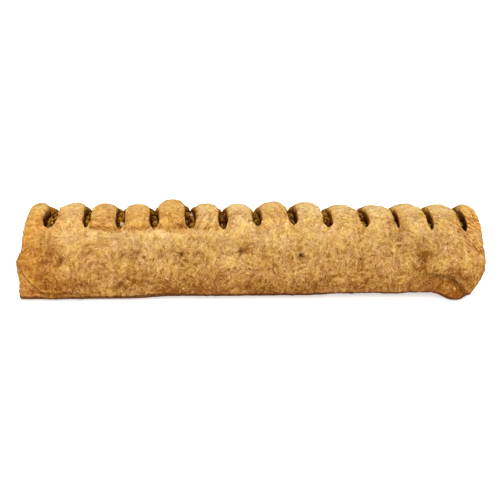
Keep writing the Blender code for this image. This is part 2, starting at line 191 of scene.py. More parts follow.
def strip_window(strip, angle):
    """1 over the roof, fading to 0 down the front and the back."""
    fade = STRIP_FADES[strip]
    front = smooth(SLIT_FRONT_ANGLE - fade, SLIT_FRONT_ANGLE + fade, angle)
    back = smooth(SLIT_BACK_ANGLE - BACK_FADE_START, SLIT_BACK_ANGLE + fade, angle)
    return front * (1.0 - back)


def strip_height(strip, across, angle):
    """Height of a strip over the dome. across is -1 and 1 at its edges."""
    angle = angle % 360.0
    drop = STRIP_DROP * smooth(DROP_START, DROP_FULL, angle)
    power = STRIP_ROUNDS[strip] + FRONT_SQUARENESS * (1 - smooth(ROUND_START, ROUND_FULL, angle))
    arch = (1.0 - min(1.0, abs(across)) ** power) ** (1.0 / power)
    joined = 1 - smooth(JOINED_BELOW, PARTED_ABOVE, angle)
    swell = STRIP_SWELL * (arch + (1 - arch) * joined)
    rise = STRIP_RISES[strip] * (arch + (1 - abs(across) ** 3 - arch) * joined)
    return (swell + rise + drop * arch - drop) * strip_window(strip, angle)


print("the fifth strip stands", round(1000 * strip_height(4, 0.0, 180.0), 1), "mm over the dome")


# %% [markdown]
# ## Relief of baked dough
#
# Short, fat-laminated dough doesn't bake smooth. It puffs in soft lumps, blisters, and its thin
# leaves break into small curved flakes with sharp edges. One height function adds these up. Finer
# grain is left to the finish, which costs no faces. Other numbers say where the baker pricked,
# folded and tucked the dough.
# %% Where the dough is pricked
DOCK_PITCH, FIRST_DOCK_X, DOCK_Z = 0.0378, -0.1190, 0.0300
DOCK_LIFTS = [-0.0019, 0.0004, 0.0011, 0.0030, 0.0006, -0.0021, -0.0015]
DOCK_SHARES = [0.8, 0.6, 1.0, 1.1, 1.2, 0.7, 0.8]
PINHOLES = [(-0.0252, 0.0455), (0.0111, 0.0415), (0.0895, 0.0413),
            (-0.0787, 0.0408), (-0.1218, 0.0122), (-0.0647, 0.0130)]
DOCK_REACH, PIT_DEPTH, PIT_WIDTH, DISH_DEPTH, DISH_WIDTH = 0.014, 0.0024, 0.0013, 0.0012, 0.0045
RAY_DEPTH, RAY_MIDDLE, RAY_LENGTH = 0.0008, 0.0026, 0.0024
PINHOLE_REACH, PINHOLE_DEPTH, PINHOLE_WIDTH = 0.006, 0.0010, 0.0009
print(len(DOCK_LIFTS), "pricked holes and", len(PINHOLES), "pinholes")


# %% Pricked holes
def dock_marks(x, z):
    """(depth, darkness, tan) of the pricked holes and pinholes at a point of the front. The darkness and tan
    are painted shade in the pits, their dishes and rays.
    """
    depth, dark, tan = 0.0, 0.0, 0.0
    dock = min(len(DOCK_LIFTS) - 1, max(0, round((x - FIRST_DOCK_X) / DOCK_PITCH)))
    dx = x - (FIRST_DOCK_X + DOCK_PITCH * dock)
    dz = z - (DOCK_Z + DOCK_LIFTS[dock])
    reach = math.hypot(dx, dz)
    if reach < DOCK_REACH:
        round_x, round_z = dx / (reach + 0.0004), dz / (reach + 0.0004)
        rays = 2.2 * noise.noise(Vector((2.3 * round_x, 2.3 * round_z, 5.0 * dock + 90 * reach)))
        rays *= bump_at(reach - RAY_MIDDLE, RAY_LENGTH)
        share = DOCK_SHARES[dock]
        bowl = PIT_DEPTH * bump_at(reach, PIT_WIDTH) + DISH_DEPTH * bump_at(reach, DISH_WIDTH)
        depth += share * (bowl + RAY_DEPTH * rays)
        # painted shade in the pit, its dish and along its rays
        dark += share * (0.90 * bump_at(reach, 0.0010) + 0.10 * max(0.0, rays))
        tan += share * (0.17 * rays + 0.05 * bump_at(reach, 0.0040))
    for hole_x, hole_z in PINHOLES:
        reach = math.hypot(x - hole_x, z - hole_z)
        if reach < PINHOLE_REACH:
            depth += PINHOLE_DEPTH * bump_at(reach, PINHOLE_WIDTH)
            dark += 0.5 * bump_at(reach, 0.0008)
    return depth, dark, tan


print("the first pinhole is", round(1000 * dock_marks(*PINHOLES[0])[0], 1), "mm deep")


# %% Folds at the ends of the front
FLAP_X, FLAP_Z, FLAP_RUN, FLAP_RISE, FLAP_POWER = -0.129, 0.006, 0.0185, 0.019, 1.9
FLAP_STEP, FLAP_ROLL, FLAP_GROOVE, GROOVE_WIDTH = 0.0014, 0.0007, 0.0009, 0.0009
ROLL_START_X, ROLL_STOP_X = -0.126, -0.092
TUCK_X, TUCK_Z, TUCK_RUN, TUCK_RISE = 0.112, 0.002, 0.0245, 0.0160
TUCK_FADE, TUCK_GROOVE, TUCK_BULGE = 0.004, 0.0012, 0.0008


def fold_marks(x, z):
    """(height, darkness, tan) of the left flap's edge and the right tuck. The darkness is painted shadow
    under the flap's edge and in the tuck's groove.
    """
    height, dark, tan = 0.0, 0.0, 0.0
    run = (FLAP_X - x) / FLAP_RUN
    rolled = smooth(ROLL_STOP_X, ROLL_START_X, x)
    if rolled > 0:
        edge = FLAP_Z + FLAP_RISE * max(0.0, run) ** FLAP_POWER
        edge += 0.0012 * noise.noise(Vector((x * 150, 0, 3)))
        height -= FLAP_STEP * (1 - smooth(edge - 0.0009, edge + 0.0003, z)) * smooth(0.0, 0.12, run)
        height += rolled * FLAP_ROLL * bump_at(z - edge + 0.0034, 0.0022)
        height -= rolled * FLAP_GROOVE * bump_at(z - edge, GROOVE_WIDTH)
        # painted shadow just under the flap's edge
        dark += rolled * 0.62 * bump_at(z - edge + 0.0005, 0.0008)
        tan -= rolled * 0.22 * bump_at(z - edge - 0.0010, 0.0009)
    if x > TUCK_X - TUCK_FADE:
        wander = 0.09 * noise.noise(Vector((x * 160, z * 160, 8)))
        reach = math.hypot((x - TUCK_X) / TUCK_RUN, (z - TUCK_Z) / TUCK_RISE) + wander
        shown = smooth(TUCK_X - TUCK_FADE, TUCK_X + TUCK_FADE, x)
        height -= TUCK_GROOVE * bump_at(reach - 1.0, 0.07) * shown
        height += TUCK_BULGE * bump_at(reach - 0.72, 0.24) * shown
        # painted shade in the tuck's groove
        dark += 0.55 * bump_at(reach - 1.0, 0.055) * shown
    return height, dark, tan


print("the left flap's edge is", round(1000 * FLAP_STEP, 1), "mm high")


# %% Creases at the feet of the strips
STRIP_CREASES = {1: 0.3, 2: 1.0, 3: 1.0, 4: 0.9, 5: 0.5, 6: 0.3, 7: 0.1}
CREASE_ANGLE, CREASE_WIDTH, CREASE_DEPTH = 132.0, 1.3, 0.0009
LEDGE_ABOVE, LEDGE_WIDTH, LEDGE_HEIGHT = 5.0, 3.5, 0.0007
FLOUR_BELOW, FLOUR_WIDTH, FLOUR_SHARE = 6.0, 4.5, 0.45
CREASE_SHADE = 1.35


def foot_marks(strip, across, angle):
    """(height, tan) of the crease where a puffed strip folds over the front. The tan is painted shade in the
    crease, less a paler floury band below it.
    """
    share = STRIP_CREASES.get(strip, 0.0) * (1 - smooth(0.75, 1.0, abs(across)))
    wander = 1.5 * noise.noise(Vector((strip * 5.0, across * 2.0, 1.0)))
    below = angle - CREASE_ANGLE - wander - 2.0 * abs(across) ** 3
    ledge = LEDGE_HEIGHT * bump_at(below - LEDGE_ABOVE, LEDGE_WIDTH)
    height = ledge - CREASE_DEPTH * bump_at(below, CREASE_WIDTH)
    floury = FLOUR_SHARE * bump_at(below + FLOUR_BELOW, FLOUR_WIDTH)
    return height * share, share * (CREASE_SHADE * bump_at(below - 1.0, 1.5 * CREASE_WIDTH) - floury)


print(len(STRIP_CREASES), "strips have a crease at their feet")


# %% Lumps, blisters, wrinkles and flakes
LUMP_SIZE, LUMP_HEIGHT = 0.024, 0.0009
BLISTER_SIZE, BLISTER_HEIGHT = 0.008, 0.0006
FLAKE_SIZE, FLAKE_STEPS, FLAKE_HEIGHT = 0.0055, 2.2, 0.00026
WRINKLE_LENGTH, WRINKLE_SPACING, WRINKLE_HEIGHT = 0.0072, 0.0024, 0.00048
WRINKLE_PATCH, WRINKLE_SWAY = 0.010, 0.0022
WRINKLE_TURNS = [math.radians(a) for a in (15, 60, 100, 150)]
CRUMB_SIZE, CRUMB_HEIGHT = 0.0020, 0.00014
ROOF_STRETCH = 0.6


def flake(place):
    """Leaves of dough that lie over each other: a slow rise, then a sharp edge."""
    bend = noise.noise_vector(place / 0.009) * 0.35
    level = FLAKE_STEPS * (1 + noise.noise(place / FLAKE_SIZE + bend))
    share = level % 1.0
    return share if share < 0.8 else (1 - share) * 4.0


def wrinkle(x, y, z):
    """Short parallel wrinkles, -1 to 1, whose direction changes from patch to patch."""
    sway = WRINKLE_SWAY * noise.noise_vector(Vector((x, y, z)) / 0.006)
    over, x = y + z + sway.x, x + sway.y
    total, weights = 0.0, 1e-6
    for k, turn in enumerate(WRINKLE_TURNS):
        weight = max(0.0, 0.12 + noise.noise(Vector((x, over, 0.03 * k)) / WRINKLE_PATCH)) ** 2
        run = x * math.cos(turn) + over * math.sin(turn)
        across = over * math.cos(turn) - x * math.sin(turn)
        wave = noise.noise(Vector((run / WRINKLE_LENGTH, across / WRINKLE_SPACING, 5.0 * k)))
        total += weight * wave
        weights += weight
    return 1.8 * total / weights


def dough_relief(x, y, z, puffed=0.0):
    """(height, tone) of the dough's own unevenness. tone is painted shade and light: above 0, darker, in its
    hollows, and below 0, paler, on its ridges.
    """
    place = Vector((x, ROOF_STRETCH * y, z))
    lumps = LUMP_HEIGHT * noise.noise(place / LUMP_SIZE)
    blisters = BLISTER_HEIGHT * noise.noise(place / BLISTER_SIZE + Vector((7.0, 3.0, 1.0)))
    leaf, fold = flake(place), wrinkle(*place)
    crumb = noise.noise(place / CRUMB_SIZE + Vector((1.0, 5.0, 2.0)))
    height = FLAKE_HEIGHT * (leaf - 0.4) + WRINKLE_HEIGHT * fold + CRUMB_HEIGHT * crumb
    # painted shade in the low parts of the relief and painted light on its high parts, stronger on puffed
    # strips
    tone = 0.08 * (0.4 - leaf) - 0.13 * fold - 0.05 * crumb
    return lumps + (blisters + height) * (1.0 - 0.25 * puffed), tone * (1.0 + 0.5 * puffed)


print("relief at one point:", round(1000 * dough_relief(0.0, -0.04, 0.02)[0], 2), "mm")


# %% [markdown]
# ## The skin of the crust
#
# The crust is a grid. Its rows run round the section and its columns run from end to end, so a
# column knows its strip and how far across the strip it is. That makes it easy to open a slit,
# since the grid just leaves out the faces between two strips there. Each point also carries six
# shades for the finish: how brown it is baked, with painted light on the upper front and the strip
# tops and, low down, painted shade with real browning; how far juice has soaked it; how much
# painted shade it takes in pits, folds, creases, slits, inside and along the base, with some stain
# in the slit walls; how far stacked leaves show; how deep its orange tint is, with painted shade at
# the strips' edges; and how far its strip is puffed.
# %% Rows at even steps round the section
BASE_ANGLES = [-50.0, -20.0, 20.0, 50.0]
ROW_STEP = 0.00078
BACK_ROW_STEP = 1.5 * ROW_STEP
FINE_STEPS, MIDDLE_POWER = 600, 4.6


def even_angles(start, stop, step):
    """Angles from start, stopping short of stop, at about even distances along the section."""
    fine = [start + (stop - start) * i / FINE_STEPS for i in range(FINE_STEPS + 1)]
    spots = [section(a, DEPTH / 2, 0.0, DOME_Z, MIDDLE_POWER) for a in fine]
    walked = [0.0]
    for here, there in zip(spots, spots[1:]):
        walked.append(walked[-1] + math.dist(here, there))
    count = max(1, round(walked[-1] / step))
    angles, i = [], 0
    for k in range(count):
        while walked[i] < walked[-1] * k / count:
            i += 1
        angles.append(fine[i])
    return angles


front_angles = even_angles(CORNER_ANGLE, SLIT_FRONT_ANGLE, ROW_STEP)
roof_angles = even_angles(SLIT_FRONT_ANGLE, SLIT_BACK_ANGLE, ROW_STEP)
back_angles = even_angles(SLIT_BACK_ANGLE, 360.0 - CORNER_ANGLE, BACK_ROW_STEP)
ANGLES = BASE_ANGLES + front_angles + roof_angles + back_angles + [360.0 - CORNER_ANGLE]
ROOF_FIRST = len(BASE_ANGLES) + len(front_angles)
ROOF_ROWS = range(ROOF_FIRST, ROOF_FIRST + len(roof_angles) + 1)
print(len(ANGLES), "rows,", len(ROOF_ROWS), "of them over the roof")

# %% Where the ends begin
ROUND_TOP = {-1: 0.0055, 1: 0.0038}
ROUND_LOW = {-1: 0.0035, 1: 0.0090}
END_STRIP_ACROSS = 0.55


def end_radius(side, z):
    """How far an end is rounded over, at a height on its outline."""
    return ROUND_LOW[side] + (ROUND_TOP[side] - ROUND_LOW[side]) * smooth(0.0, 0.030, z)


def strip_edges(strip, angle):
    """X of a strip's two edges. The end strips run on to where the ends begin."""
    left = end_radius(-1, outer_section(-HALF, leaned(angle, 0))[1]) - HALF
    right = HALF - end_radius(1, outer_section(HALF, leaned(angle, SLIT_COUNT))[1])
    if strip > 0:
        left = slit_x(strip - 1, angle) + half_gap(strip - 1, angle)
    if strip < STRIP_COUNT - 1:
        right = slit_x(strip, angle) - half_gap(strip, angle)
    return left, right


def across_of(strip, share):
    """Place across a strip, -1 to 1. An end strip is rounded fully on one side only."""
    if strip == 0:
        return share - END_STRIP_ACROSS * (1 - share)
    if strip == STRIP_COUNT - 1:
        return END_STRIP_ACROSS * share - (1 - share)
    return 2 * share - 1


print("the first strip starts at x =", round(1000 * strip_edges(0, 180.0)[0], 1), "mm")

# %% How brown, soaked and painted with light and shade each point is
STRIP_TANS = [0.02, -0.03, 0.08, 0.0, 0.08, -0.05, -0.06, 0.06, 0.0, 0.0, -0.04, 0.0, 0.0, 0.08]
STRIP_AMBERS = [0.6, 0.45, 0.8, 0.9, 0.9, 0.4, 0.2, 0.6, 0.2, 0.4, 0.3, 0.4, 0.4, 0.9]
# mostly tan and pale tone; the three spots at x = 109.5 to 115 mm darken a dent with painted shadow
TAN_AND_SHADE_SPOTS = [(-136, 22, 14, 0.14), (-122, 33, 9, 0.15), (109.5, 31, 4.6, 0.30), (110.5, 22, 4.2, 0.19),
             (115, 16.5, 4.5, 0.18), (122, 12, 11, 0.06), (130, 16, 7, 0.08), (-98, 30, 10, 0.06),
             (-52, 6, 9, 0.08), (70, 4, 12, 0.06), (-65, 22, 10, 0.08), (85, 10, 10, 0.06),
             (30, 34, 8, 0.05), (-111, 37, 10, -0.12), (-150, 8, 12, -0.10), (136, 30, 10, -0.14),
             (-93, 28, 7, -0.10), (-37, 34, 7, -0.08), (-18, 27, 7, -0.07), (94, 28, 8, -0.08),
             (-92, 9, 6, -0.10), (131, 21, 6, 0.10), (-122, 3, 10, 0.12), (-70, 21, 8, 0.06),
             (-30, 21, 12, 0.09), (4, 21, 10, 0.05), (45, 15, 8, 0.07), (74, 17, 9, 0.10),
             (-130, 34, 6, 0.08), (-110, 4, 8, 0.08), (-55, 41, 6, -0.14), (95, 43, 7, 0.08),
             (-24, 31, 8, -0.06), (148, 16, 7, -0.12), (-92, 33, 7, -0.08), (-92, 10, 6, -0.08),
             (-18, 21, 6, 0.08)]
AMBER_SPOTS = [(-138, 24, 18, 0.9), (-138, 2, 14, 0.4), (122, 4, 10, 0.7), (148, 36, 14, 0.5),
               (-100, 32, 12, 0.25), (-142, 42, 12, 0.5), (-120, 2, 12, 0.5), (135, 3, 8, 0.6)]


BAKED_MEAN, PATCHY_TAN, PATCH_SIZE, MOTTLED_TAN, MOTTLE_SIZE = 0.47, 0.08, 0.026, 0.13, 0.010
LOW_TAN_AND_SHADE, LOW_BAND, BROW_PAINTED_LIGHT, BROW_BAND = 0.30, (0.008, 0.023), 0.18, (0.030, 0.041)
ROOF_PAINTED_LIGHT, ROOF_BAND, RIGHT_TAN, RIGHT_BAND = 0.25, (150.0, 178.0), 0.08, (0.030, 0.110)
CREST_PALE, CREST_TOAST = 0.18, 0.12
OPEN_BAND, SHOULDER_BAND, EDGE_SHADE_BAND = (138.0, 150.0), (0.960, 0.985), (0.82, 0.96)
SCORCH_AND_SHADOW, SCORCH_AND_SHADOW_BAND, UNDER_SHADE, UNDER_BAND = 0.85, (0.0007, 0.0020), 0.80, (0.23, 0.34)


def spotted(shade, spots, x, z):
    """A shade with soft spots laid over it, each (x, z, width, share) with its lengths in mm."""
    for spot_x, spot_z, width, share in spots:
        shade += share * bump_at(math.hypot(x - spot_x / 1000, z - spot_z / 1000), width / 1000)
    return shade


def shades(x, y, z, strip, across, angle, tone, dark, under):
    """The six shades of a point of the crust, each about 0 to 1. under is how far it faces down."""
    place, angle, aside = Vector((x, y, z)), angle % 360.0, abs(across)
    window = strip_window(strip, angle)
    patchy = noise.noise(place / PATCH_SIZE + Vector((4.0, 4.0, 4.0)))
    mottled = noise.noise(place / MOTTLE_SIZE + Vector((9.0, 2.0, 6.0)))
    baked = BAKED_MEAN + PATCHY_TAN * patchy + MOTTLED_TAN * mottled + tone
    # the lower front is made browner: partly real browning, partly painted shade low on the front
    low_tan_and_shade = LOW_TAN_AND_SHADE - 0.13 * smooth(0.03, 0.07, abs(x)) - 0.09 * smooth(0.11, 0.14, -x)
    # the upper band of the front is made paler: painted light where the front turns up towards the lamp
    baked += low_tan_and_shade * (1 - smooth(*LOW_BAND, z)) - BROW_PAINTED_LIGHT * smooth(*BROW_BAND, z)
    # the tops of the strips are made paler: painted light
    baked -= ROOF_PAINTED_LIGHT * window * smooth(*ROOF_BAND, angle)
    baked += RIGHT_TAN * smooth(*RIGHT_BAND, x) * (1 - window)
    amber_and_edge_shade = STRIP_AMBERS[strip] * window
    if y < 0:
        baked = spotted(baked, TAN_AND_SHADE_SPOTS, x, z)
        amber_and_edge_shade = spotted(amber_and_edge_shade, AMBER_SPOTS, x, z)
    toasted = smooth(-0.1, 0.5, noise.noise(Vector((strip * 2.7, y * 45, 3.0))))
    crested = window * (1 - aside ** 2)
    baked += crested * (STRIP_TANS[strip] - CREST_PALE + CREST_TOAST * toasted)
    opened = smooth(*OPEN_BAND, angle)
    # the strips' edges at the slits, which take juice stain and painted shade
    shoulder = window * smooth(*SHOULDER_BAND, aside) * opened
    # a warmer, darker orange towards the strips' edges, where they turn down into the slits: painted shade
    amber_and_edge_shade += 0.9 * window * smooth(*EDGE_SHADE_BAND, aside) * opened
    behind = bump_at(angle - SLIT_BACK_ANGLE + 6.0, 14.0)
    soaked = max(min(1.0, 1.4 * shoulder), smooth(0.5, 1.0, aside) * behind)
    layered = smooth(0.127, 0.135, x) * smooth(0.024, 0.036, z)
    # the lowest two millimetres darken to a thin line: partly a darker baked edge, partly painted contact
    # shadow
    scorched_and_shaded = SCORCH_AND_SHADOW * (1 - smooth(*SCORCH_AND_SHADOW_BAND, z))
    # points near the base that face down are darkened with painted shade, and so are the strips' edges at
    # the slits
    dark = max(dark, 0.60 * shoulder, scorched_and_shaded, UNDER_SHADE * smooth(*UNDER_BAND, under))
    return baked, 0.9 * soaked, dark, layered, min(1.0, amber_and_edge_shade), window


print(len(TAN_AND_SHADE_SPOTS), "tan and pale spots,", len(AMBER_SPOTS), "amber ones")

# %% A point of the skin
UNDER_HEIGHT, FLAT_HEIGHT, NORMAL_STEP, FOOT_SHADE_SHARE = 0.005, 0.004, 0.5, 0.30
# the flat base is browner, and darkened with painted shade where it sits on the table
BASE_SHADES = (0.80, 0.0, 0.85, 0.0, 0.3, 0.0)


def outer_point(x, angle, strip, across, mark_x=None):
    """(place, then its shades) of a point of the skin. mark_x is where it meets the folds, if not at x."""
    y, z = outer_section(x, angle)
    ahead, behind = outer_section(x, angle + NORMAL_STEP), outer_section(x, angle - NORMAL_STEP)
    normal = Vector((0.0, behind[1] - ahead[1], ahead[0] - behind[0])).normalized()
    if z <= 0.0:
        return (Vector((x, y, 0.0)), *BASE_SHADES)
    height, tone = dough_relief(x, y, z, strip_window(strip, angle % 360.0))
    dark = 0.0
    if y < 0:
        pit, pit_dark, pit_shade = dock_marks(x, z)
        step, step_dark, step_tan = fold_marks(x if mark_x is None else mark_x, z)
        foot, foot_shade_and_flour = foot_marks(strip, across, angle)
        height += step + foot - pit
        # the creases and pits add painted shade to the tone; the flap's pale edge is real
        tone += FOOT_SHADE_SHARE * foot_shade_and_flour + pit_shade + step_tan
        dark = min(1.0, pit_dark + step_dark)
    height = height * smooth(0.0, FLAT_HEIGHT, z) + strip_height(strip, across, angle)
    under = -normal.z if z < UNDER_HEIGHT else 0.0
    return (Vector((x, y, z)) + normal * height, *shades(x, y, z, strip, across, angle, tone, dark, under))


sample = outer_point(0.0, 180.0, 7, 0.0)
print("crest of the middle strip at z =", round(1000 * sample[0].z, 1), "mm")

# %% [markdown]
# ## The ends
#
# The dough is pinched shut at both ends. Each end is a stack of rings that turn the corner and
# then shrink to its middle. The left end has a sharp lip at mid height, where the upper sheet is
# pressed on the lower one. The right end is plumper and rounds under more.
# %% A point of an end
LIP_Z, LIP_HEIGHT = {-1: 0.0240, 1: 0.0200}, 0.010
LIP_ABOVE, LIP_BELOW = {-1: 0.0048, 1: 0.0004}, {-1: 0.0024, 1: 0.0098}
LIP_FOOT, END_CENTRE_Z = 0.019, 0.022
END_DOME, END_TAN, PINCH_WIDTH, PINCH_SHADE = 0.0012, 0.46, 0.0012, 0.3
ROUND_STEPS, FACE_STEPS = 8, 22


def end_point(side, angle, turn, share):
    """A point of an end. turn goes 0 to 1 round its edge, then share goes 1 to 0 to its middle."""
    strip = 0 if side < 0 else STRIP_COUNT - 1
    angle = leaned(angle, strip)
    radius = end_radius(side, outer_section(side * HALF, angle)[1])
    mark_x = side * (HALF - radius * (1 - math.sin(turn * math.pi / 2)))
    rim, *tints = outer_point(side * (HALF - radius), angle, strip, END_STRIP_ACROSS, mark_x)
    baked, _, dark, layered, amber_and_edge_shade, puffed = tints
    centre = Vector((rim.x, 0.0, END_CENTRE_Z))
    inset = radius * (1 - math.cos(turn * math.pi / 2))
    place = centre + (rim - centre) * (1 - inset / (rim - centre).length) * share
    above = LIP_ABOVE[side] * smooth(LIP_Z[side], LIP_Z[side] + LIP_HEIGHT, place.z)
    below = LIP_BELOW[side] * (1 - smooth(LIP_Z[side] - LIP_FOOT, LIP_Z[side], place.z))
    out = radius * math.sin(turn * math.pi / 2) - (above + below) * turn + END_DOME * (1 - share)
    height, tone = dough_relief(place.x + side * out, place.y, place.z)
    place.x += side * (out + height * turn)
    # a dark line along the pinched lip: painted shade
    pinch = bump_at(place.z - LIP_Z[side], PINCH_WIDTH) * turn
    inner = smooth(1.0, 0.90, share)
    if rim.z <= 0.0:
        inner = max(inner, smooth(0.30, 0.95, turn))
    dark = min(1.0, dark * (1 - inner) + PINCH_SHADE * pinch)
    baked += (END_TAN + tone - baked) * inner
    return place, baked + 0.08 * turn, 0.0, dark, max(layered, 0.5 * turn), max(amber_and_edge_shade, 0.7 * turn), puffed


print("the right end reaches x =", round(1000 * end_point(1, 180.0, 1.0, 0.0)[0].x, 1), "mm")

# %% Build the crust's grid
COLUMNS = 25
CROWDED, EVEN = 0.45, 0.55
column_shares = [0.5 - 0.5 * math.cos(math.pi * i / (COLUMNS - 1)) for i in range(COLUMNS)]
column_shares = [CROWDED * s + EVEN * i / (COLUMNS - 1) for i, s in enumerate(column_shares)]
crust_mesh = bmesh.new()
SHADE_NAMES = ("baked", "soaked", "painted_shade_and_stain", "layered", "amber_and_edge_shade", "puffed")
shade_layers = [crust_mesh.verts.layers.float.new(n) for n in SHADE_NAMES]


def add_ring(points):
    """One ring of the skin, each point with its shades."""
    made = []
    for place, *values in points:
        vert = crust_mesh.verts.new(place)
        for layer, value in zip(shade_layers, values):
            vert[layer] = value
        made.append(vert)
    return made


def end_ring(side, turn, share):
    """One ring of an end."""
    return add_ring([end_point(side, angle, turn, share) for angle in ANGLES])


outer = []
for step in range(FACE_STEPS, 0, -1):
    outer.insert(0, end_ring(-1, 1.0, step / FACE_STEPS))
for step in range(ROUND_STEPS - 1, 0, -1):
    outer.append(end_ring(-1, step / ROUND_STEPS, 1.0))
CAP_RINGS = len(outer)
edges_of = [[strip_edges(strip, a) for a in ANGLES] for strip in range(STRIP_COUNT)]
for strip in range(STRIP_COUNT):
    for share in column_shares:
        spots = []
        for angle, (left, right) in zip(ANGLES, edges_of[strip]):
            x = left + (right - left) * share
            spots.append(outer_point(x, leaned(angle, strip - 1 + share), strip, across_of(strip, share)))
        outer.append(add_ring(spots))
for step in range(1, ROUND_STEPS):
    outer.append(end_ring(1, step / ROUND_STEPS, 1.0))
for step in range(FACE_STEPS, 0, -1):
    outer.append(end_ring(1, 1.0, step / FACE_STEPS))
print(len(outer), "rings,", len(crust_mesh.verts), "points in the skin")

# %% [markdown]
# ## Inside the crust
#
# The space inside only shows through the slits, so its skin has few faces. The walls of the slits
# do show. They bulge a little, are rough where the knife tore the leaves, and are soft with juice.
# Their dark colour is juice stain with painted shade, darker deeper down.
# %% The inner skin
WALL_TOP, WALL_SIDE, WALL_BASE, WALL_END = 0.0055, 0.0055, 0.0040, 0.0100
# the inner skin is soaked with juice and darkened with painted shade
INNER_POWER, INNER_ROW_STEP, INNER_SHADES = 4.0, 12, (0.3, 1.0, 0.9, 0.0, 0.0, 0.0)


def inner_section(angle, gap):
    """Outline of the space inside, or of something that lies in it with this gap all round."""
    half_depth, top = DEPTH / 2 - WALL_SIDE - gap, DOME_Z - WALL_TOP - gap
    return section(angle, half_depth, WALL_BASE + gap, top, INNER_POWER)


inner_rows = [row for row in range(len(ANGLES))
              if row in ROOF_ROWS or row < len(BASE_ANGLES) or row % INNER_ROW_STEP == 0]
inner = []
for strip in range(STRIP_COUNT):
    for share in (0, 1):
        spots = []
        for row in inner_rows:
            left, right = edges_of[strip][row]
            left = WALL_END - HALF if strip == 0 else left
            right = HALF - WALL_END if strip == STRIP_COUNT - 1 else right
            y, z = inner_section(leaned(ANGLES[row], strip - 1 + share), 0.0)
            spots.append((Vector((left + (right - left) * share, y, z)), *INNER_SHADES))
        inner.append(add_ring(spots))
print(len(inner), "rings inside")


# %% Faces of the two skins
def join_rings(mesh, rings, open_columns=(), open_rows=()):
    """Faces between neighbouring rings, left out where a slit is open."""
    for column, (ring, beside) in enumerate(zip(rings, rings[1:])):
        for row in range(len(ring)):
            if column in open_columns and row in open_rows:
                continue
            after = (row + 1) % len(ring)
            mesh.faces.new((ring[row], ring[after], beside[after], beside[row]))


def close_ring(mesh, ring, tip):
    """A fan from a ring to one point, which ends a skin."""
    for i, point in enumerate(ring):
        mesh.faces.new((point, ring[(i + 1) % len(ring)], tip))


END_SHADES = (0.5, 0.0, 0.2, 0.5, 0.7, 0.0)
inner_roof = [i for i, row in enumerate(inner_rows) if row in ROOF_ROWS]
outer_gaps = {CAP_RINGS + COLUMNS * (slit + 1) - 1 for slit in range(SLIT_COUNT)}
inner_gaps = {2 * (slit + 1) - 1 for slit in range(SLIT_COUNT)}
join_rings(crust_mesh, outer, outer_gaps, set(ROOF_ROWS[:-1]))
join_rings(crust_mesh, inner, inner_gaps, set(inner_roof[:-1]))
for rings, reach in ((outer, HALF + END_DOME), (inner, HALF - WALL_END)):
    for ring, x in ((rings[0], -reach), (rings[-1], reach)):
        tip = add_ring([(Vector((x, 0.0, END_CENTRE_Z)), *END_SHADES)])[0]
        close_ring(crust_mesh, ring, tip)
print(len(crust_mesh.faces), "faces in the two skins")

# %% Walls of the slits
WALL_SHARES = [0.04, 0.2, 0.4, 0.6, 0.8]
WALL_BULGE, TEAR_SIZE, STAIN_SIZE, WALL_TAN = 0.0006, 0.0022, 0.0018, 0.25
loop_rows = [(row, 1) for row in ROOF_ROWS] + [(row, -1) for row in reversed(ROOF_ROWS)]


def slit_loop(rings, slit, per_strip, first, rows):
    """The points round a slit: back along its left edge, then forward along its right edge."""
    left, right = rings[first + per_strip * (slit + 1) - 1], rings[first + per_strip * (slit + 1)]
    return [left[r] for r in rows] + [right[r] for r in reversed(rows)]


for slit in range(SLIT_COUNT):
    top = slit_loop(outer, slit, COLUMNS, CAP_RINGS, list(ROOF_ROWS))
    bottom = slit_loop(inner, slit, 2, 0, inner_roof)
    loops = [top]
    for share in WALL_SHARES:
        spots = []
        for (row, inwards), high, low in zip(loop_rows, top, bottom):
            room = half_gap(slit, ANGLES[row])
            place = high.co.lerp(low.co, share)
            rough = 0.35 * noise.noise(place / TEAR_SIZE)
            place.x += inwards * min(WALL_BULGE, 0.3 * room) * (math.sin(math.pi * share) + rough)
            stain = 0.35 * noise.noise(place / STAIN_SIZE + Vector((6.0, 1.0, 2.0)))
            # darker deeper in the wall: painted shade; the stain noise is real juice stain
            dark = min(1.0, 0.70 + 0.30 * share + 0.8 * stain)
            spots.append((place, WALL_TAN, 1.0, dark, 0.0, 0.0, 0.0))
        loops.append(add_ring(spots))
    join_rings(crust_mesh, loops + [bottom])
print(len(crust_mesh.faces), "faces in all")

# %% [markdown]
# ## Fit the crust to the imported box
#
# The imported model's box is the truth about size. The finer relief pokes out by a fraction of a
# millimetre here and there, so the whole bar is eased into that box with one small stretch, which
# the filling follows too.
# %% Make the crust object
low = Vector([min(v.co[i] for v in crust_mesh.verts) for i in range(3)])
high = Vector([max(v.co[i] for v in crust_mesh.verts) for i in range(3)])
STRETCH = Vector([(crust_high[i] - crust_low[i]) / (high[i] - low[i]) for i in range(3)])
SHIFT = Vector([crust_low[i] - low[i] * STRETCH[i] for i in range(3)])


def placed(name, data):
    """An object in the scene."""
    made = bpy.data.objects.new(name, data)
    bpy.context.scene.collection.objects.link(made)
    return made


def finish_piece(name, mesh, node, sharp=0):
    """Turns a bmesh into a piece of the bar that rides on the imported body."""
    for vert in mesh.verts:
        vert.co = Vector([vert.co[i] * STRETCH[i] + SHIFT[i] for i in range(3)])
    bmesh.ops.recalc_face_normals(mesh, faces=mesh.faces)
    data = bpy.data.meshes.new(name)
    mesh.to_mesh(data)
    mesh.free()
    data.shade_smooth()
    if sharp:
        data.set_sharp_from_angle(angle=math.radians(sharp))
    piece = placed(name, data)
    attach(piece, "root")
    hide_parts(node)
    return piece


crust = finish_piece("crust_dough", crust_mesh, "crust", 55)
print("stretch", [round(s, 4) for s in STRETCH], "with", len(crust.data.polygons), "faces")

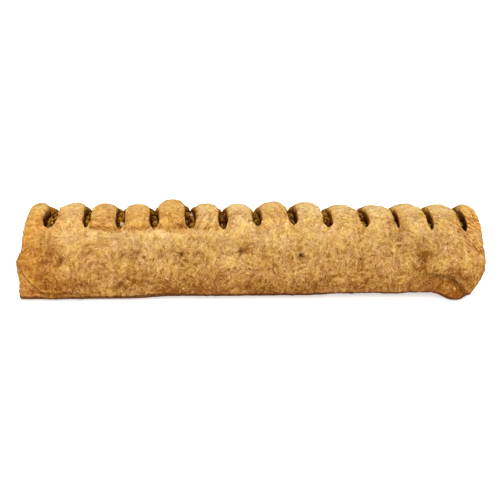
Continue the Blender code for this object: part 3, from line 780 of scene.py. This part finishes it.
# %% [markdown]
# ## The filling
#
# Chopped apple, cooked soft with sugar and cinnamon, lies in its own syrup. Most of it is hidden,
# so one core carries the mass, with bumps where it shows. Chunks of apple and a few raisins are
# laid over it along each slit, sunk in by more than half. A few bits of apple stayed pale.
# %% The core of the filling
FILLING_GAP, CORE_COLUMNS = 0.0005, 5
CHUNK_SIZE, CHUNK_HEIGHT, WALL_CLEARANCE, BIT_SIZE = 0.0065, 0.0028, 0.0004, 0.002


def core_height(x, y, slit, share):
    """How far the core rises into a slit."""
    lump = 0.6 + 1.1 * noise.noise(Vector((x, y, 0.0)) / CHUNK_SIZE + Vector((3.0, 9.0, slit)))
    fine = 0.25 * noise.noise(Vector((x, y, 0.0)) / BIT_SIZE)
    return CHUNK_HEIGHT * max(0.1, lump + fine) * smooth(0.0, 0.15, share) * (1 - smooth(0.88, 1.0, share))


core_mesh = bmesh.new()
core_angles = [ANGLES[r] for r in inner_rows]
core_reach = HALF - WALL_END - FILLING_GAP


def core_end(x, slit):
    """Plain ring of the core at one of its ends, beside a slit."""
    spots = [inner_section(leaned(a, slit), FILLING_GAP) for a in core_angles]
    return [core_mesh.verts.new((x, y, z)) for y, z in spots]


core_rings = [core_end(-core_reach, 0)]
for slit in range(SLIT_COUNT):
    for offset in [i / CORE_COLUMNS for i in range(-CORE_COLUMNS, CORE_COLUMNS + 1)]:
        ring = []
        for row, angle in enumerate(core_angles):
            y, z = inner_section(leaned(angle, slit), FILLING_GAP)
            x = slit_x(slit, angle) + offset * max(0.0002, half_gap(slit, angle) - WALL_CLEARANCE)
            rise = 0.0
            if row in inner_roof and abs(offset) < 1:
                rise = core_height(x, y, slit, slit_share(angle)) * math.cos(offset * math.pi / 2) ** 0.5
            ring.append(core_mesh.verts.new((x, y, z + rise)))
        core_rings.append(ring)
core_rings.append(core_end(core_reach, SLIT_COUNT - 1))
print(len(core_rings), "rings in the core")

# %% Faces of the core
join_rings(core_mesh, core_rings)
for ring, x in ((core_rings[0], -core_reach), (core_rings[-1], core_reach)):
    close_ring(core_mesh, ring, core_mesh.verts.new((x, 0.0, END_CENTRE_Z)))
core = finish_piece("filling_core", core_mesh, "filling")
print(len(core.data.polygons), "faces in the core")

# %% Chunks of apple along the slits
CHUNK_SEED = 31
rng = random.Random(CHUNK_SEED)
LUMPS_PER_SLIT, LUMP_DETAIL, LUMP_SIZES = 46, 2, (0.0009, 0.0021)
LUMP_FIRST, LUMP_REACH, LUMP_LAST, LUMP_CLEARANCE = 0.05, 0.88, 0.95, 0.0003
RAISIN_SHARE, PALE_SHARE, PALE_SCALE = 0.34, 0.03, 0.75
RAISIN_FORM, APPLE_FORM, PALE_BIT_FORM = (0.05, 0.55), (0.6, 0.45), (0.5, 0.4)
PALE_BITS = [(2, 0.150, 0.0021), (3, 0.20, 0.0009), (4, 0.30, 0.0010), (0, 0.22, 0.0007)]


def random_turn():
    """A turn by any angle about any line."""
    angle = rng.uniform(0, 6.28)
    return Matrix.Rotation(angle, 3, Vector([rng.gauss(0, 1) for _ in range(3)]).normalized())


def add_lump(mesh, centre, size, form):
    """One uneven lump: a ball pulled towards a box, roughened and turned. form is how much of each."""
    turn, (squareness, rough) = random_turn(), form
    made = bmesh.ops.create_icosphere(mesh, subdivisions=LUMP_DETAIL, radius=1.0)["verts"]
    seed = Vector([rng.uniform(0, 50) for _ in range(3)])
    for vert in made:
        n = vert.co.normalized()
        boxed = n / max(abs(n.x), abs(n.y), abs(n.z))
        shape = n.lerp(boxed, squareness) * (1 + rough * noise.noise(n * 1.7 + seed))
        vert.co = centre + turn @ Vector([shape[i] * size[i] for i in range(3)])


def surface_z(x, angle, slit):
    """Place (y, z) on the core, at x and an angle in a slit."""
    y, z = inner_section(leaned(angle, slit), FILLING_GAP)
    return y, z + core_height(x, y, slit, slit_share(angle))


chunk_mesh, pale_mesh, raisin_mesh = bmesh.new(), bmesh.new(), bmesh.new()
for slit in range(SLIT_COUNT):
    for k in range(LUMPS_PER_SLIT):
        share = LUMP_FIRST + LUMP_REACH * (k + rng.uniform(-0.6, 0.6)) / (LUMPS_PER_SLIT - 1)
        angle = slit_angle(min(LUMP_LAST, max(LUMP_FIRST, share)))
        room = half_gap(slit, angle) - LUMP_CLEARANCE
        size = min(room, rng.uniform(*LUMP_SIZES))
        x = slit_x(slit, angle) + rng.uniform(-1, 1) * (room - size)
        y, z = surface_z(x, angle, slit)
        centre = Vector((x, y, z + rng.uniform(-0.7, 0.1) * size))
        kind = rng.random()
        sides = Vector((size, size * rng.uniform(0.8, 1.35), size * rng.uniform(0.6, 0.95)))
        if kind < RAISIN_SHARE:
            add_lump(raisin_mesh, centre, sides, RAISIN_FORM)
        elif kind < RAISIN_SHARE + PALE_SHARE:
            add_lump(pale_mesh, centre, sides * PALE_SCALE, APPLE_FORM)
        else:
            add_lump(chunk_mesh, centre, sides, APPLE_FORM)
for slit, share, size in PALE_BITS:
    angle = slit_angle(share)
    y, z = surface_z(slit_x(slit, angle), angle, slit)
    centre = Vector((slit_x(slit, angle) + 0.5 * size, y, z + 0.7 * size))
    add_lump(pale_mesh, centre, Vector((size, 0.9 * size, 0.8 * size)), PALE_BIT_FORM)
print(len(chunk_mesh.faces) + len(pale_mesh.faces), "faces of apple,", len(raisin_mesh.faces), "of raisin")
chunks = finish_piece("apple_chunks", chunk_mesh, "filling")
pale_chunks = finish_piece("pale_apple_chunks", pale_mesh, "filling")
raisins = finish_piece("raisins", raisin_mesh, "filling")

# %% [markdown]
# ## Finishes
#
# The pastry goes from straw to tan to brown as it bakes. The finish starts from the shades that the
# points carry, breaks them up with noise at several sizes, and draws short curved streaks, which
# are the edges of the leaves. The same streaks drive the bump, so colour and relief agree: the
# colour is paler on raised streaks and bright flecks and darker in cracks, partly real flakes and
# partly painted light and shade.
# %% Helpers for building finishes
def new_finish(name):
    """An empty finish: the material, its node tree and its surface shader."""
    material = bpy.data.materials.new(name)
    material.use_nodes = True
    return material, material.node_tree, material.node_tree.nodes["Principled BSDF"]


def add_node(tree, kind, **settings):
    """One node with these settings."""
    node = tree.nodes.new(kind)
    for key, value in settings.items():
        setattr(node, key, value)
    return node


def feed(tree, socket, value):
    """Gives an input a number, three numbers or another node's output. None leaves it as it is."""
    if isinstance(value, bpy.types.NodeSocket):
        tree.links.new(value, socket)
    elif value is not None:
        socket.default_value = (*value, 1.0) if socket.type == "RGBA" else value


def set_inputs(tree, node, **values):
    """Feeds a node's inputs by name, with _ for a space."""
    for key, value in values.items():
        feed(tree, node.inputs[key.replace("_", " ")], value)


def maths(tree, operation, first, second, third=None, clamp=False):
    """One Math node. Each input is a number or a socket."""
    node = add_node(tree, "ShaderNodeMath", operation=operation, use_clamp=clamp)
    for socket, value in zip(node.inputs, (first, second, third)):
        feed(tree, socket, value)
    return node.outputs[0]


def mix_colours(tree, share, first, second, blend="MIX"):
    """One colour Mix node. The colours are sockets or (r, g, b)."""
    node = add_node(tree, "ShaderNodeMix", data_type="RGBA", blend_type=blend)
    for i, value in ((0, share), (6, first), (7, second)):
        feed(tree, node.inputs[i], value)
    return node.outputs[2]


def srgb(*paint):
    """A colour as a paint chart gives it, 0 to 255, turned into light values."""
    shares = [part / 255 for part in paint]
    return [c / 12.92 if c <= 0.04045 else ((c + 0.055) / 1.055) ** 2.4 for c in shares]


print("a chart's 128 is", round(srgb(128, 128, 128)[0], 3), "of full light")

# %% Places and shades that the pastry's finish starts from
pastry, tree, shader = new_finish("pastry_baked")
LINE_WAY, LINE_CELLS, LINE_STRETCH = (0.96, 0.20, 0.20), 132.0, 2.8
SWAY_REACH, CELL_REACH, CELL_TURN = (0.0028, 0.0028, 0.0028), (0.1, 0.1, 0.1), 12.0


def shade_of(name):
    """One of the shades that the crust's points carry."""
    return add_node(tree, "ShaderNodeAttribute", attribute_name=name).outputs["Fac"]


def vector_maths(operation, first, second=None, third=None):
    """One Vector Math node. Each input is three numbers or a socket."""
    node = add_node(tree, "ShaderNodeVectorMath", operation=operation)
    for socket, value in zip(node.inputs, (first, second, third)):
        feed(tree, socket, value)
    return node.outputs["Value" if operation == "DOT_PRODUCT" else "Vector"]


def texture(kind, vector, **values):
    """One texture node that reads vector, with its inputs set."""
    node = add_node(tree, kind)
    set_inputs(tree, node, Vector=vector, **values)
    return node


place = add_node(tree, "ShaderNodeTexCoord").outputs["Object"]
place = vector_maths("MULTIPLY", place, (1.0, ROOF_STRETCH, 1.0))
sway = texture("ShaderNodeTexNoise", place, Scale=190.0, Detail=2.0)
bent = vector_maths("MULTIPLY_ADD", sway.outputs["Color"], SWAY_REACH, place)
print("pastry finish:", len(tree.nodes), "nodes so far")

# %% Places for short lines along the skin, turned anew in each patch of the dough
normal = add_node(tree, "ShaderNodeNewGeometry").outputs["Normal"]
along_skin = vector_maths("NORMALIZE", vector_maths("CROSS_PRODUCT", normal, LINE_WAY))
cells = texture("ShaderNodeTexVoronoi", bent, Scale=LINE_CELLS)
turned = add_node(tree, "ShaderNodeVectorRotate", rotation_type="AXIS_ANGLE")
turn = maths(tree, "MULTIPLY", cells.outputs["Color"], CELL_TURN)
set_inputs(tree, turned, Vector=along_skin, Axis=normal, Angle=turn)
line_way = turned.outputs["Vector"]
offset = vector_maths("SUBTRACT", bent, cells.outputs["Position"])
run = vector_maths("DOT_PRODUCT", offset, line_way)
aside = vector_maths("DOT_PRODUCT", offset, vector_maths("CROSS_PRODUCT", normal, line_way))
drawn = add_node(tree, "ShaderNodeCombineXYZ")
set_inputs(tree, drawn, X=run, Y=maths(tree, "MULTIPLY", aside, LINE_STRETCH))
line_place = vector_maths("MULTIPLY_ADD", cells.outputs["Color"], CELL_REACH, drawn.outputs["Vector"])
print("pastry finish:", len(tree.nodes), "nodes so far")

# %% Lines, crumbs and layers of the dough
def noise_of(vector, scale, detail, roughness=0.5, distortion=0.0):
    """Soft noise, about 0.5 on average."""
    return texture("ShaderNodeTexNoise", vector, Scale=scale, Detail=detail, Roughness=roughness,
                   Distortion=distortion).outputs["Fac"]


broad_lines = noise_of(line_place, 210.0, 2.0, 0.55)
fine_lines = noise_of(line_place, 430.0, 2.0, 0.6)
crumbs = noise_of(bent, 560.0, 2.0, 0.55)
grain = noise_of(place, 1500.0, 2.0)
patches = noise_of(place, 150.0, 3.0, distortion=0.6)
flakes = texture("ShaderNodeTexVoronoi", bent, Scale=520.0).outputs["Distance"]
layer_place = vector_maths("SUBTRACT", bent, (0.126, 0.0, 0.018))
layers = texture("ShaderNodeTexWave", layer_place, Scale=200.0, Distortion=3.0, Detail=1.0,
                 Detail_Scale=0.8)
layers.wave_type, layers.rings_direction = "RINGS", "Y"
print("pastry finish:", len(tree.nodes), "nodes so far")

# %% Relief of the pastry, which its colour shares
def between_levels(value, low, high):
    """0 under low, 1 over high, smooth between."""
    node = add_node(tree, "ShaderNodeMapRange", interpolation_type="SMOOTHSTEP")
    set_inputs(tree, node, Value=value, From_Min=low, From_Max=high)
    return node.outputs["Result"]


def add_up(total, *parts):
    """total plus each part times its share."""
    for part, share in parts:
        total = maths(tree, "MULTIPLY_ADD", part, share, total)
    return total


# bright flecks: partly pale flakes, partly painted highlights
flecks = between_levels(fine_lines, 0.54, 0.66)
cracks = between_levels(broad_lines, 0.42, 0.28)
height = add_up(0.3, (flakes, -0.3), (fine_lines, 1.0), (flecks, 0.30), (cracks, -0.35),
                (broad_lines, 0.8), (grain, 0.20), (crumbs, 0.65))
layer_lines = maths(tree, "SUBTRACT", layers.outputs["Fac"], 0.5)
layer_lines = maths(tree, "MULTIPLY", layer_lines, shade_of("layered"))
layer_lines = maths(tree, "MULTIPLY", layer_lines, add_up(0.6, (shade_of("puffed"), 0.8)))
height = add_up(height, (layer_lines, 0.22))
bump = add_node(tree, "ShaderNodeBump")
set_inputs(tree, bump, Height=height, Strength=1.0, Distance=0.0009)
print("pastry finish:", len(tree.nodes), "nodes so far")

# %% Colour of the pastry
# paler where the relief is high, darker in its cracks: partly painted light and shade, made stronger on the
# puffed strips
streaks = add_up(1.10, (broad_lines, -0.52), (fine_lines, -0.68), (crumbs, -0.56), (grain, -0.55),
                 (flecks, -0.16), (cracks, 0.10))
gain = add_up(1.06, (shade_of("puffed"), 0.25))
level = add_up(shade_of("baked"), (patches, 0.34), (streaks, gain), (layer_lines, -0.36))
level = add_up(0.238, (level, 0.78))
ramp = add_node(tree, "ShaderNodeValToRGB")
set_inputs(tree, ramp, Fac=level)
tones = ramp.color_ramp.elements
tones[0].color, tones[1].color = (*srgb(247, 222, 162), 1.0), (*srgb(120, 70, 18), 1.0)
for spot, tone in ((0.22, srgb(237, 201, 132)), (0.42, srgb(216, 174, 106)),
                   (0.60, srgb(192, 147, 84)), (0.80, srgb(160, 113, 54))):
    tones.new(spot).color = (*tone, 1.0)
blush = between_levels(noise_of(bent, 150.0, 5.0, 0.6), 0.38, 0.62)
blush = mix_colours(tree, blush, (1.0, 1.01, 0.87), (1.0, 0.975, 1.16))
colour = mix_colours(tree, 1.0, ramp.outputs["Color"], blush, "MULTIPLY")
# the orange tint, which at the strips' edges is painted shade
colour = mix_colours(tree, shade_of("amber_and_edge_shade"), colour, (1.0, 0.81, 0.52), "MULTIPLY")
juice = mix_colours(tree, between_levels(patches, 0.42, 0.58), srgb(100, 42, 2), srgb(184, 120, 16))
colour = mix_colours(tree, shade_of("soaked"), colour, juice)
# dark brown where the crust carries painted shade: pits, folds, creases, slit walls, inside and base, with
# some stain in the walls
colour = mix_colours(tree, shade_of("painted_shade_and_stain"), colour, srgb(70, 28, 3))
set_inputs(tree, shader, Base_Color=colour, Roughness=add_up(0.58, (fine_lines, 0.35)),
           Normal=bump.outputs["Normal"], Specular_IOR_Level=0.06, Specular_Tint=(1.0, 0.85, 0.62))
crust.data.materials.append(pastry)
print("pastry finish:", len(tree.nodes), "nodes")

# %% [markdown]
# ## Wet apple
#
# Cooked apple is golden brown and wet, and lies deep in shade; the dark ends of the syrup's and
# apple's colours are partly painted shade. A low roughness with a little warm shine gives the wet
# look without glare. Raisins are dark red-brown, wrinkled and just as wet. All share one recipe,
# which mixes two colours by noise.
# %% Apple and syrup
def wet_finish(name, dark, pale, scale, roughness):
    """A wet, uneven food finish between two colours."""
    material, own, surface = new_finish(name)
    spots = add_node(own, "ShaderNodeTexNoise")
    origin = add_node(own, "ShaderNodeTexCoord").outputs["Object"]
    set_inputs(own, spots, Vector=origin, Scale=scale, Detail=4.0)
    uneven = spots.outputs["Fac"]
    share = maths(own, "MULTIPLY_ADD", uneven, 3.4, -1.25, clamp=True)
    relief = add_node(own, "ShaderNodeBump")
    set_inputs(own, relief, Height=uneven, Strength=0.7, Distance=0.0006)
    set_inputs(own, surface, Base_Color=mix_colours(own, share, dark, pale), Normal=relief.outputs["Normal"],
               Roughness=maths(own, "MULTIPLY_ADD", uneven, 0.3, roughness),
               Specular_IOR_Level=0.08, Specular_Tint=(1.0, 0.74, 0.40))
    return material


# the dark colours of the syrup and cooked apple are partly real brown, partly painted shade of the deep
# slits
syrup = wet_finish("apple_syrup", srgb(26, 8, 1), srgb(120, 64, 8), 300.0, 0.26)
cooked = wet_finish("apple_cooked", srgb(52, 20, 3), srgb(196, 138, 30), 420.0, 0.24)
pale_apple = wet_finish("apple_pale", srgb(190, 140, 70), srgb(250, 232, 190), 420.0, 0.30)
raisin_skin = wet_finish("raisin_skin", srgb(38, 12, 4), srgb(116, 50, 14), 800.0, 0.30)
for piece, finish in ((core, syrup), (chunks, cooked), (pale_chunks, pale_apple), (raisins, raisin_skin)):
    piece.data.materials.append(finish)
print("four wet finishes")

# %% [markdown]
# ## Table, light and camera
#
# A plain near-white table, one very broad lamp above and in front, and a bright even surround
# give soft light with faint shadows. The table glows a little, so that it stays white under the
# bar. The camera looks at the long front from a little above, through a long lens.
# %% The table
WHITE, TABLE_GREY, TABLE_GLOW, TABLE_SIZE = (1.0, 1.0, 1.0), (0.95, 0.95, 0.95), 0.60, 6.0
bpy.ops.mesh.primitive_plane_add(size=TABLE_SIZE, location=(0.0, 0.0, 0.0))
table = bpy.context.object
table.name = "table"
cover, tree, shader = new_finish("table_white")
set_inputs(tree, shader, Base_Color=TABLE_GREY, Roughness=0.9, Emission_Color=WHITE,
           Emission_Strength=TABLE_GLOW)
table.data.materials.append(cover)
print("a table", TABLE_SIZE, "m wide")

# %% Lamp and surround
LAMP_STRENGTH, LAMP_SPREAD, LAMP_WAY, SURROUND = 2.9, 1.6, (0.03, 0.80, -1.0), 0.46
sun = bpy.data.lights.new("soft_lamp", "SUN")
sun.energy, sun.angle = LAMP_STRENGTH, LAMP_SPREAD
lamp = placed("soft_lamp", sun)
lamp.rotation_euler = Vector(LAMP_WAY).to_track_quat("-Z", "Y").to_euler()
world = bpy.data.worlds.new("surround")
world.use_nodes = True
set_inputs(world.node_tree, world.node_tree.nodes["Background"], Color=WHITE, Strength=SURROUND)
bpy.context.scene.world = world
print("lamp", LAMP_STRENGTH, "and surround", SURROUND)

# %% The camera
CAMERA_DISTANCE, CAMERA_RISE, CAMERA_AIM_Z, LENS = 0.860, 16.5, 0.0215, 93.5
aim = Vector((0.0, 0.0, CAMERA_AIM_Z))
rise = math.radians(CAMERA_RISE)
view = bpy.data.cameras.new("camera")
view.lens, view.sensor_width = LENS, 36.0
camera = placed("camera", view)
camera.location = aim + Vector((0.0, -math.cos(rise), math.sin(rise))) * CAMERA_DISTANCE
camera.rotation_euler = (math.pi / 2 - rise, 0.0, 0.0)
bpy.context.scene.camera = camera
bpy.context.scene.view_settings.view_transform = "Standard"
print("camera", round(CAMERA_DISTANCE, 2), "m away,", CAMERA_RISE, "degrees up")
